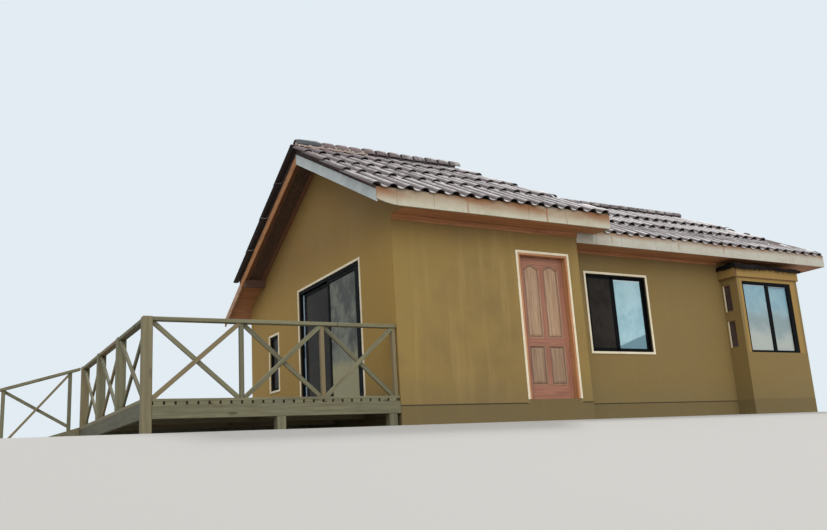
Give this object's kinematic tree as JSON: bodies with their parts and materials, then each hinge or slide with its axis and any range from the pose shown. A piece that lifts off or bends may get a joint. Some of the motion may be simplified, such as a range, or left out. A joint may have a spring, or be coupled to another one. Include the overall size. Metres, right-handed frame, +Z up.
{
  "type": "colonial wooden house",
  "caption": "Single-storey rendered house with barrel-tile roofs, a panelled front door, sliding patio door, bay window and a railed timber deck with a ramp.",
  "frame": {"origin": "middle of the whole footprint, on the ground", "axes": "+X along the front to the right, +Y to the rear, +Z up; the front door faces -Y and the gable -X"},
  "size_m": [13.533, 6.396, 4.6329],
  "materials": {
    "ochre_render": "painted render, matt",
    "concrete": "painted plinth, matt",
    "floor_wood": "planed boards, satin",
    "roof_tile": "weathered barrel tiles, matt",
    "raw_timber": "sawn timber, matt",
    "fascia_paint": "weathered paint, matt",
    "soffit_wood": "stained boards, satin",
    "primer": "grey primer, matt",
    "brown_stain": "brown stain, satin",
    "pink_board": "bare board, matt",
    "cream_trim": "cream paint, satin",
    "door_brown": "stained door, satin",
    "jamb_wood": "stained timber, satin",
    "black_frame": "black coating, satin",
    "glass": "clear glass",
    "deck_pine": "grey-green treated pine, matt",
    "hinge_steel": "zinc, satin",
    "dark_sheet": "dark felt, matt"
  },
  "bodies": {
    "house": {"plinth": "concrete", "floor": "floor_wood", "gable_wall_front": "ochre_render", "gable_wall_over_patio_door": "ochre_render", "gable_wall_rear": "ochre_render", "patio_sill": "ochre_render", "front_wall_left": "ochre_render", "front_wall_over_door": "ochre_render", "front_wall_right": "ochre_render", "tall_side_walls": "ochre_render", "tall_rear_wall": "ochre_render", "low_front_wall": "ochre_render", "low_end_wall": "ochre_render", "low_rear_wall": "ochre_render", "tall_roof_tiles": "roof_tile", "tall_roof_frame": "raw_timber", "rear_eave_strip": "pink_board", "low_roof_tiles": "roof_tile", "low_roof_frame": "raw_timber", "tall_ridge_caps": "roof_tile", "low_ridge_caps": "roof_tile", "tall_fascia": "fascia_paint", "tall_soffit": "soffit_wood", "front_barge_board": "primer", "rear_barge_board": "brown_stain", "strip_barge_boards": "pink_board", "purlin_end": "brown_stain", "hip_fascia": "fascia_paint", "low_fascia": "fascia_paint", "low_soffit": "soffit_wood", "front_door_frame": "cream_trim", "front_door_sill": "jamb_wood", "front_door_hinges": "hinge_steel", "patio_door_trim": "cream_trim", "patio_door_frame": "black_frame", "patio_fixed_panel": "black_frame", "small_window_trim": "cream_trim", "small_window_frame": "black_frame", "window_trim": "cream_trim", "window_frame": "black_frame", "bay_base": "ochre_render", "bay_sides": "ochre_render", "bay_front": "ochre_render", "bay_header": "ochre_render", "bay_top_sheet": "dark_sheet", "bay_window_frame": "black_frame", "bay_side_frames": "cream_trim", "window_glass": "glass", "deck_floor": "deck_pine", "deck_frame": "deck_pine", "deck_feet": "deck_pine", "front_railing": "deck_pine", "side_railing": "deck_pine", "ramp": "deck_pine", "ramp_railing": "deck_pine"},
    "door_leaf": {"front_door": "door_brown"},
    "sliding_door": {"patio_sliding_panel": "black_frame", "patio_sliding_glass": "glass"}
  },
  "joints": [
    {"name": "front_door_hinge", "type": "hinge", "parent": "house", "child": "door_leaf", "pos_m": [0.688, -2.6437, 1.3635], "axis": [0, 0, -1], "range_deg": [0, 90]},
    {"name": "patio_door_slide", "type": "slide", "parent": "house", "child": "sliding_door", "axis": [0, -1, 0], "range_m": [0, 0.9]}
  ]
}
